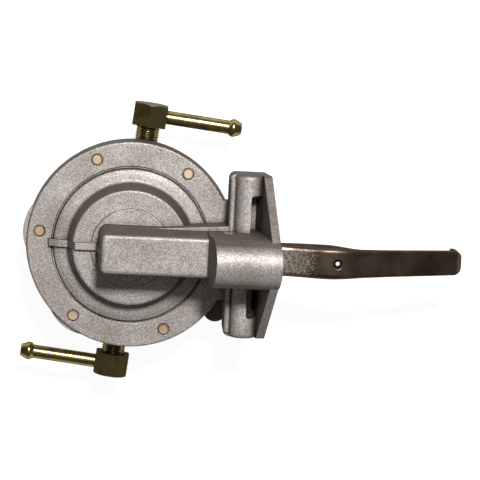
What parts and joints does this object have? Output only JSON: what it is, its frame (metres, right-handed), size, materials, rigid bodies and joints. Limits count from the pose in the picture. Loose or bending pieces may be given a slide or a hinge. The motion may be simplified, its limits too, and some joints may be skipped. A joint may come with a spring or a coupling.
{
  "type": "mechanical fuel pump",
  "caption": "Engine-driven diaphragm fuel pump: cast housing with an inclined mounting flange, a cam-driven rocker arm, spring-loaded diaphragm, check valves and right-angle hose fittings",
  "frame": {"origin": "centre of the pulsator cover's flat underside, on the pump's axis", "axes": "+Z along the pump's axis away from the cover, +X along the rocker arm towards the cam, +Y towards the outlet"},
  "size_m": [0.2222, 0.1434, 0.0991],
  "materials": {
    "cast_aluminium": "die-cast, as cast, lightly tumbled",
    "yellow_plated_steel": "zinc plated, yellow passivated",
    "zinc_steel": "pressed sheet, zinc plated",
    "bright_steel": "ground",
    "spring_steel": "oiled spring wire",
    "rocker_steel": "stamped, case hardened, oiled",
    "coated_fabric": "rubber-coated fabric",
    "black_rubber": "moulded",
    "brass": "stamped"
  },
  "bodies": {
    "housing": {"rocker_housing": "cast_aluminium", "fuel_chamber": "cast_aluminium", "clamp_screws": "yellow_plated_steel", "lock_washers": "spring_steel", "diaphragm": "coated_fabric", "rod_seal": "black_rubber", "seal_retainer": "zinc_steel", "diaphragm_spring": "spring_steel", "pivot_pin": "bright_steel", "rocker_spring": "spring_steel", "inlet_valve_seat": "brass", "inlet_valve_cage": "brass", "inlet_valve_spring": "spring_steel", "outlet_valve_seat": "brass", "outlet_valve_cage": "brass", "outlet_valve_spring": "spring_steel", "inlet_elbow": "yellow_plated_steel", "inlet_nipple": "yellow_plated_steel", "outlet_elbow": "yellow_plated_steel", "outlet_nipple": "yellow_plated_steel", "pulsator_diaphragm": "coated_fabric", "pulsator_cover": "zinc_steel"},
    "rocker": {"rocker_arm": "rocker_steel"},
    "link": {"link": "rocker_steel"},
    "rod": {"pull_rod": "bright_steel", "upper_protector_plate": "zinc_steel", "lower_protector_plate": "zinc_steel", "rod_collar": "bright_steel"},
    "inlet_valve": {"inlet_valve_disc": "black_rubber"},
    "outlet_valve": {"outlet_valve_disc": "black_rubber"}
  },
  "joints": [
    {"name": "rocker_pivot", "type": "hinge", "parent": "housing", "child": "rocker", "pos_m": [0.05, 0, 0.071], "axis": [0, 1, 0], "range_deg": [0, 6], "stiffness_Nm_per_rad": 2, "springref_deg": -11.46, "deforming": ["rocker_spring"]},
    {"name": "link_pivot", "type": "hinge", "parent": "housing", "child": "link", "pos_m": [0.05, 0, 0.071], "axis": [0, 1, 0], "range_deg": [0, 6]},
    {"name": "diaphragm_stroke", "type": "slide", "parent": "housing", "child": "rod", "axis": [0, 0, 1], "range_m": [0, 0.00524], "deforming": ["diaphragm_spring", "diaphragm"]},
    {"name": "inlet_valve_lift", "type": "slide", "parent": "housing", "child": "inlet_valve", "axis": [0, 0, 1], "range_m": [0, 0.0012], "stiffness_N_per_m": 20, "deforming": ["inlet_valve_spring"]},
    {"name": "outlet_valve_lift", "type": "slide", "parent": "housing", "child": "outlet_valve", "axis": [0, 0, -1], "range_m": [0, 0.0012], "stiffness_N_per_m": 20, "deforming": ["outlet_valve_spring"]}
  ],
  "couplings": [
    {"joint": "link_pivot", "follows": "rocker_pivot", "ratio": 1},
    {"joint": "diaphragm_stroke", "follows": "rocker_pivot", "m_per_rad": 0.05}
  ]
}
